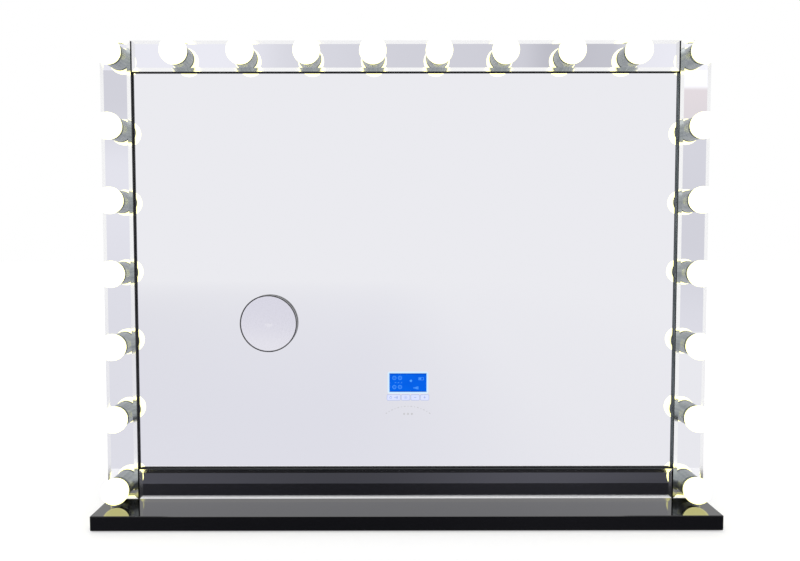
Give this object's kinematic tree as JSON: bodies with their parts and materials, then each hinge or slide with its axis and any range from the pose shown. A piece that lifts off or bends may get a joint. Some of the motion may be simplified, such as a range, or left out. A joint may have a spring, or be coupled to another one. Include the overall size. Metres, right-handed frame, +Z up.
{
  "type": "lighted vanity mirror",
  "caption": "Wide table-top mirror with bevelled mirror strips, globe lamps in metal sleeves along the top and sides, a clip-on spot mirror, a lit display and a gloss base board.",
  "frame": {"origin": "middle of the footprint, on the surface that the base pads stand on", "axes": "+X to the right of someone looking into the mirror, +Y away from them towards the rear cover, +Z up"},
  "size_m": [1, 0.2, 0.786],
  "materials": {
    "lamp_opal": "opal, lit",
    "sleeve_metal": "satin",
    "holder_plastic": "matte",
    "mirror_glass": "polished, silvered",
    "frame_black": "black anodised, satin",
    "frame_aluminium": "anodised",
    "base_lacquer": "high gloss lacquer",
    "pad_rubber": "matte",
    "fastener_steel": "zinc plated",
    "board_wood": "raw board",
    "cover_paint": "fine textured sheet",
    "display_glass": "backlit display",
    "circuit_board": "solder mask",
    "black_plastic": "fine texture",
    "inlet_metal": "nickel plated",
    "wire_sheath": "woven sleeve",
    "rim_chrome": "polished",
    "spot_mirror_glass": "polished, silvered"
  },
  "bodies": {
    "frame": {"backing_board": "board_wood", "base_board": "base_lacquer", "base_bolts": "fastener_steel", "base_pads": "pad_rubber", "bolt_plates": "fastener_steel", "centre_mirror": "mirror_glass", "control_board": "circuit_board", "corner_brackets": "frame_aluminium", "cover_screws": "fastener_steel", "dc_inlet": "inlet_metal", "display_module": "circuit_board", "display_window": "display_glass", "lampholders_left": "holder_plastic", "lampholders_right": "holder_plastic", "lampholders_top": "holder_plastic", "mirror_ledges": "frame_aluminium", "power_module": "black_plastic", "rail_bottom": "frame_black", "rail_end_caps": "frame_black", "rail_left": "frame_black", "rail_right": "frame_black", "rail_top": "frame_black", "rear_cover": "cover_paint", "sleeves_left": "sleeve_metal", "sleeves_right": "sleeve_metal", "sleeves_top": "sleeve_metal", "speaker_left": "black_plastic", "speaker_right": "black_plastic", "strip_bottom": "mirror_glass", "strip_left": "mirror_glass", "strip_right": "mirror_glass", "strip_top": "mirror_glass", "supply_loom": "wire_sheath", "touch_film": "circuit_board"},
    "bulb_left_1": {"bulb_left_1": "lamp_opal"},
    "bulb_left_2": {"bulb_left_2": "lamp_opal"},
    "bulb_left_3": {"bulb_left_3": "lamp_opal"},
    "bulb_left_4": {"bulb_left_4": "lamp_opal"},
    "bulb_left_5": {"bulb_left_5": "lamp_opal"},
    "bulb_left_6": {"bulb_left_6": "lamp_opal"},
    "bulb_left_7": {"bulb_left_7": "lamp_opal"},
    "bulb_right_1": {"bulb_right_1": "lamp_opal"},
    "bulb_right_2": {"bulb_right_2": "lamp_opal"},
    "bulb_right_3": {"bulb_right_3": "lamp_opal"},
    "bulb_right_4": {"bulb_right_4": "lamp_opal"},
    "bulb_right_5": {"bulb_right_5": "lamp_opal"},
    "bulb_right_6": {"bulb_right_6": "lamp_opal"},
    "bulb_right_7": {"bulb_right_7": "lamp_opal"},
    "bulb_top_1": {"bulb_top_1": "lamp_opal"},
    "bulb_top_2": {"bulb_top_2": "lamp_opal"},
    "bulb_top_3": {"bulb_top_3": "lamp_opal"},
    "bulb_top_4": {"bulb_top_4": "lamp_opal"},
    "bulb_top_5": {"bulb_top_5": "lamp_opal"},
    "bulb_top_6": {"bulb_top_6": "lamp_opal"},
    "bulb_top_7": {"bulb_top_7": "lamp_opal"},
    "bulb_top_8": {"bulb_top_8": "lamp_opal"},
    "spot_mirror": {"spot_pads": "pad_rubber", "spot_back": "black_plastic", "spot_rim": "rim_chrome", "spot_glass": "spot_mirror_glass"}
  },
  "joints": [
    {"name": "bulb_left_1_lift", "type": "slide", "parent": "frame", "child": "bulb_left_1", "axis": [0, -1, 0], "range_m": [0, 0.045]},
    {"name": "bulb_left_2_lift", "type": "slide", "parent": "frame", "child": "bulb_left_2", "axis": [0, -1, 0], "range_m": [0, 0.045]},
    {"name": "bulb_left_3_lift", "type": "slide", "parent": "frame", "child": "bulb_left_3", "axis": [0, -1, 0], "range_m": [0, 0.045]},
    {"name": "bulb_left_4_lift", "type": "slide", "parent": "frame", "child": "bulb_left_4", "axis": [0, -1, 0], "range_m": [0, 0.045]},
    {"name": "bulb_left_5_lift", "type": "slide", "parent": "frame", "child": "bulb_left_5", "axis": [0, -1, 0], "range_m": [0, 0.045]},
    {"name": "bulb_left_6_lift", "type": "slide", "parent": "frame", "child": "bulb_left_6", "axis": [0, -1, 0], "range_m": [0, 0.045]},
    {"name": "bulb_left_7_lift", "type": "slide", "parent": "frame", "child": "bulb_left_7", "axis": [0, -1, 0], "range_m": [0, 0.045]},
    {"name": "bulb_right_1_lift", "type": "slide", "parent": "frame", "child": "bulb_right_1", "axis": [0, -1, 0], "range_m": [0, 0.045]},
    {"name": "bulb_right_2_lift", "type": "slide", "parent": "frame", "child": "bulb_right_2", "axis": [0, -1, 0], "range_m": [0, 0.045]},
    {"name": "bulb_right_3_lift", "type": "slide", "parent": "frame", "child": "bulb_right_3", "axis": [0, -1, 0], "range_m": [0, 0.045]},
    {"name": "bulb_right_4_lift", "type": "slide", "parent": "frame", "child": "bulb_right_4", "axis": [0, -1, 0], "range_m": [0, 0.045]},
    {"name": "bulb_right_5_lift", "type": "slide", "parent": "frame", "child": "bulb_right_5", "axis": [0, -1, 0], "range_m": [0, 0.045]},
    {"name": "bulb_right_6_lift", "type": "slide", "parent": "frame", "child": "bulb_right_6", "axis": [0, -1, 0], "range_m": [0, 0.045]},
    {"name": "bulb_right_7_lift", "type": "slide", "parent": "frame", "child": "bulb_right_7", "axis": [0, -1, 0], "range_m": [0, 0.045]},
    {"name": "bulb_top_1_lift", "type": "slide", "parent": "frame", "child": "bulb_top_1", "axis": [0, -1, 0], "range_m": [0, 0.045]},
    {"name": "bulb_top_2_lift", "type": "slide", "parent": "frame", "child": "bulb_top_2", "axis": [0, -1, 0], "range_m": [0, 0.045]},
    {"name": "bulb_top_3_lift", "type": "slide", "parent": "frame", "child": "bulb_top_3", "axis": [0, -1, 0], "range_m": [0, 0.045]},
    {"name": "bulb_top_4_lift", "type": "slide", "parent": "frame", "child": "bulb_top_4", "axis": [0, -1, 0], "range_m": [0, 0.045]},
    {"name": "bulb_top_5_lift", "type": "slide", "parent": "frame", "child": "bulb_top_5", "axis": [0, -1, 0], "range_m": [0, 0.045]},
    {"name": "bulb_top_6_lift", "type": "slide", "parent": "frame", "child": "bulb_top_6", "axis": [0, -1, 0], "range_m": [0, 0.045]},
    {"name": "bulb_top_7_lift", "type": "slide", "parent": "frame", "child": "bulb_top_7", "axis": [0, -1, 0], "range_m": [0, 0.045]},
    {"name": "bulb_top_8_lift", "type": "slide", "parent": "frame", "child": "bulb_top_8", "axis": [0, -1, 0], "range_m": [0, 0.045]},
    {"name": "spot_mirror_lift", "type": "slide", "parent": "frame", "child": "spot_mirror", "axis": [0, -1, 0], "range_m": [0, 0.03]}
  ]
}
